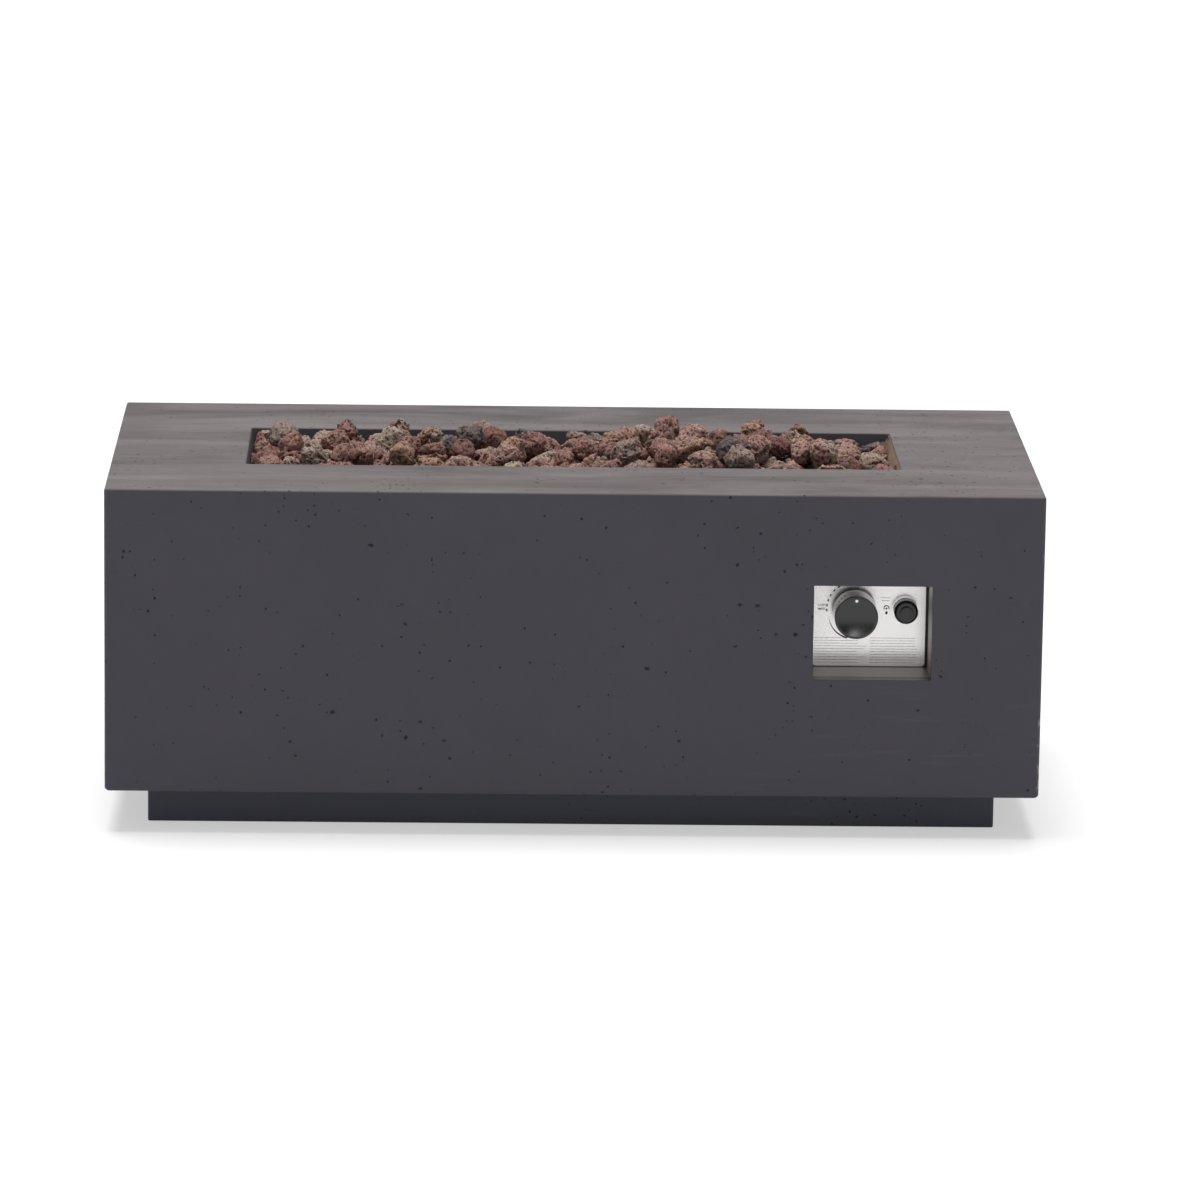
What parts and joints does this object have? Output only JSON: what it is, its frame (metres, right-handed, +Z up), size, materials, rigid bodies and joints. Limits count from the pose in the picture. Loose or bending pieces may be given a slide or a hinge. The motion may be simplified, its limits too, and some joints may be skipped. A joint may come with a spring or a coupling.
{
  "type": "gas fire pit table",
  "caption": "Low rectangular cast table on a set-back plinth, with a trough of lava rock over a gas burner and a control pocket in its front wall.",
  "frame": {"origin": "on the floor, under the middle of the cast body", "axes": "+X to the right of someone facing the controls, +Y to the back, +Z up"},
  "size_m": [1.016, 0.508, 0.4083],
  "materials": {
    "cast_concrete": "matte",
    "plinth_concrete": "matte",
    "foot_rubber": "matte",
    "zinc_steel": "satin",
    "screw_steel": "satin",
    "stainless_sheet": "satin",
    "burner_steel": "satin",
    "panel_steel": "satin",
    "lava_rock": "matte",
    "brass": "satin",
    "valve_casting": "satin",
    "knob_plastic": "gloss",
    "dot_paint": "gloss",
    "black_plastic": "satin",
    "barrel_plastic": "satin",
    "chrome_nut": "polished",
    "ceramic": "satin",
    "battery_wrap": "gloss",
    "spring_steel": "satin",
    "lead_copper": "satin",
    "wire_sleeve": "matte",
    "tube_copper": "satin",
    "housing_sheet": "matte"
  },
  "bodies": {
    "root": {"body_shell": "cast_concrete", "plinth_base": "plinth_concrete", "foot_pads": "foot_rubber", "corner_brackets": "zinc_steel", "corner_bracket_screws": "screw_steel", "burner_pan": "stainless_sheet", "pan_screws": "screw_steel", "burner_tube": "burner_steel", "burner_supports": "stainless_sheet", "burner_lock_nut": "brass", "air_mixer": "brass", "gas_injector": "brass", "ignition_hood": "stainless_sheet", "hood_screws": "screw_steel", "spark_insulator": "ceramic", "spark_electrode": "spring_steel", "thermocouple_probe": "lead_copper", "ignition_bracket": "stainless_sheet", "lava_rock_bed": "lava_rock", "lava_rocks": "lava_rock", "control_panel": "panel_steel", "panel_nuts": "screw_steel", "panel_housing": "housing_sheet", "housing_screws": "screw_steel", "valve_cap": "valve_casting", "valve_cap_screws": "screw_steel", "valve_mount_screws": "screw_steel", "valve_body": "valve_casting", "magnet_unit": "brass", "igniter_barrel": "barrel_plastic", "igniter_locknut": "chrome_nut", "igniter_battery": "battery_wrap", "igniter_terminals": "brass", "gas_inlet_fitting": "brass", "inlet_locknut": "brass", "inlet_washer": "foot_rubber", "supply_tube": "tube_copper", "burner_feed_tube": "tube_copper", "tube_nuts": "brass", "injector_elbow": "brass", "ignition_wire": "wire_sleeve", "thermocouple_lead": "lead_copper", "heat_shield": "zinc_steel", "heat_shield_screws": "screw_steel", "rear_vent_grille": "housing_sheet", "vent_screws": "screw_steel"},
    "valve_plug_body": {"valve_plug": "brass"},
    "knob_body": {"control_knob": "knob_plastic", "knob_pointer_dot": "dot_paint", "knob_clip": "spring_steel", "valve_spindle": "brass", "spindle_spring": "spring_steel"},
    "poppet_body": {"safety_poppet": "brass", "poppet_spring": "spring_steel"},
    "igniter_cap_body": {"igniter_cap": "black_plastic"},
    "igniter_button_body": {"igniter_button": "black_plastic", "igniter_button_spring": "spring_steel"}
  },
  "joints": [
    {"name": "knob_turn", "type": "hinge", "parent": "root", "child": "valve_plug_body", "pos_m": [0.3065, -0.162, 0.242], "axis": [0, -1, 0], "range_deg": [0, 165]},
    {"name": "knob_push", "type": "slide", "parent": "valve_plug_body", "child": "knob_body", "axis": [0, 1, 0], "range_m": [0, 0.004], "stiffness_N_per_m": 800, "springref_m": -0.003, "deforming": ["spindle_spring"]},
    {"name": "safety_valve", "type": "slide", "parent": "root", "child": "poppet_body", "axis": [0, 1, 0], "range_m": [0, 0.004], "deforming": ["poppet_spring"]},
    {"name": "igniter_cap_off", "type": "slide", "parent": "root", "child": "igniter_cap_body", "axis": [0, -1, 0], "range_m": [0, 0.02]},
    {"name": "igniter_push", "type": "slide", "parent": "igniter_cap_body", "child": "igniter_button_body", "axis": [0, 1, 0], "range_m": [0, 0.004], "stiffness_N_per_m": 300, "springref_m": -0.003, "deforming": ["igniter_button_spring"]}
  ],
  "couplings": [
    {"joint": "safety_valve", "follows": "knob_push", "ratio": 1}
  ]
}
